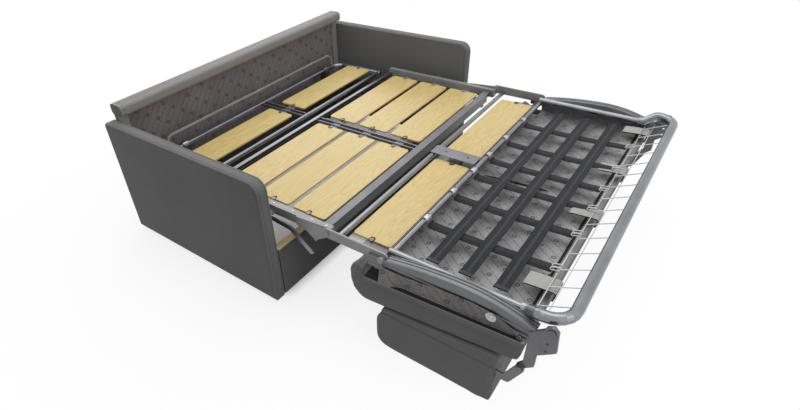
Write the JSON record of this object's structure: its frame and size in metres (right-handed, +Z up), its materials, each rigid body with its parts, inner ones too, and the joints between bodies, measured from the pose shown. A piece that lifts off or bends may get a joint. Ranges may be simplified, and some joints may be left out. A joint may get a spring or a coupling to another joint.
{
  "type": "sleeper sofa",
  "caption": "Upholstered sleeper sofa with its slatted pull-out bed open; the bed folds back into a seat and backrest.",
  "frame": {"origin": "middle of the bounding box at floor level, with the bed pulled out", "axes": "+Z up, +Y towards the back of the sofa, +X to the right seen from the front"},
  "size_m": [1.724, 2.07, 0.675],
  "materials": {
    "upholstery": "dark grey smooth upholstery cloth",
    "lining": "warm grey non-woven lining with faint dashes",
    "black_plastic": "black, matt",
    "raw_timber": "bare board",
    "birch_slat": "lacquered birch plywood",
    "webbing": "dark elastic webbing with pale lines",
    "bright_wire": "bright zinc",
    "silver_paint": "silver grey gloss paint",
    "grey_steel": "mid grey satin paint"
  },
  "bodies": {
    "root": {"arm_left": "upholstery", "arm_right": "upholstery", "back_panel": "upholstery", "back_lining": "lining", "front_rail": "upholstery", "base_plinth": "black_plastic", "base_frame": "raw_timber", "side_plate_left": "grey_steel", "side_plate_right": "grey_steel", "head_clamp_left": "black_plastic", "head_clamp_right": "black_plastic"},
    "front_links": {"front_link_left": "grey_steel", "front_link_right": "grey_steel"},
    "rear_links": {"rear_link_left": "grey_steel", "rear_link_right": "grey_steel"},
    "middle_section": {"side_rail_left": "grey_steel", "side_rail_right": "grey_steel", "rear_bar": "silver_paint", "front_beam": "silver_paint", "middle_spine": "grey_steel", "middle_slat_1_left": "birch_slat", "middle_slat_1_right": "birch_slat", "middle_slat_2_left": "birch_slat", "middle_slat_2_right": "birch_slat", "middle_slat_3_left": "birch_slat", "middle_slat_3_right": "birch_slat"},
    "head_section": {"head_tube": "silver_paint", "pillow_rail": "grey_steel", "head_spine": "grey_steel", "head_slat_left": "birch_slat", "head_slat_right": "birch_slat"},
    "support_levers": {"support_lever_left": "silver_paint", "support_lever_right": "silver_paint"},
    "knee_section": {"knee_tube": "silver_paint", "knee_beam": "grey_steel", "knee_bar_left": "grey_steel", "knee_bar_right": "grey_steel", "knee_slat_left": "birch_slat", "knee_slat_right": "birch_slat"},
    "foot_section": {"strap_tube": "silver_paint", "foot_tube": "silver_paint", "wire_grid": "bright_wire", "seat_lining": "lining", "seat_cushion": "upholstery", "side_tube_left": "silver_paint", "side_tube_right": "silver_paint", "seat_profile_left": "grey_steel", "seat_profile_right": "grey_steel", "long_strap_1_left": "webbing", "long_strap_1_right": "webbing", "long_strap_2_left": "webbing", "long_strap_2_right": "webbing", "long_strap_3_left": "webbing", "long_strap_3_right": "webbing", "cross_strap_1": "webbing", "cross_strap_2": "webbing", "cross_strap_3": "webbing"},
    "backrest": {"backrest_cushion": "upholstery", "backrest_arm_left": "grey_steel", "backrest_arm_right": "grey_steel"}
  },
  "joints": [
    {"name": "fold", "type": "hinge", "parent": "root", "child": "front_links", "pos_m": [0, 0.273, 0.142], "axis": [-1, 0, 0], "range_deg": [0, 133]},
    {"name": "rear_link_swing", "type": "hinge", "parent": "root", "child": "rear_links", "pos_m": [0, 0.563, 0.142], "axis": [-1, 0, 0], "range_deg": [0, 133]},
    {"name": "middle_travel", "type": "hinge", "parent": "front_links", "child": "middle_section", "pos_m": [0, 0.198, 0.37], "axis": [1, 0, 0], "range_deg": [0, 133]},
    {"name": "head_tilt", "type": "hinge", "parent": "root", "child": "head_section", "pos_m": [0, 0.91, 0.383], "axis": [-1, 0, 0], "range_deg": [0, 90]},
    {"name": "lever_swing", "type": "hinge", "parent": "middle_section", "child": "support_levers", "pos_m": [0, 0.145, 0.38], "axis": [-1, 0, 0], "range_deg": [0, 45]},
    {"name": "knee_fold", "type": "hinge", "parent": "middle_section", "child": "knee_section", "pos_m": [0, -0.155, 0.412], "axis": [-1, 0, 0], "range_deg": [0, 90]},
    {"name": "seat_fold", "type": "hinge", "parent": "knee_section", "child": "foot_section", "pos_m": [0, -0.401, 0.412], "axis": [-1, 0, 0], "range_deg": [0, 90]},
    {"name": "backrest_turn", "type": "hinge", "parent": "foot_section", "child": "backrest", "pos_m": [0, -0.921, 0.23], "axis": [-1, 0, 0], "range_deg": [0, 90]}
  ],
  "couplings": [
    {"joint": "rear_link_swing", "follows": "fold", "ratio": 1},
    {"joint": "middle_travel", "follows": "fold", "ratio": 1},
    {"joint": "head_tilt", "follows": "fold", "ratio": 0.6766},
    {"joint": "lever_swing", "follows": "fold", "ratio": 0.3383},
    {"joint": "knee_fold", "follows": "fold", "ratio": 0.6766},
    {"joint": "seat_fold", "follows": "fold", "ratio": 0.6766},
    {"joint": "backrest_turn", "follows": "fold", "ratio": 0.6766}
  ]
}
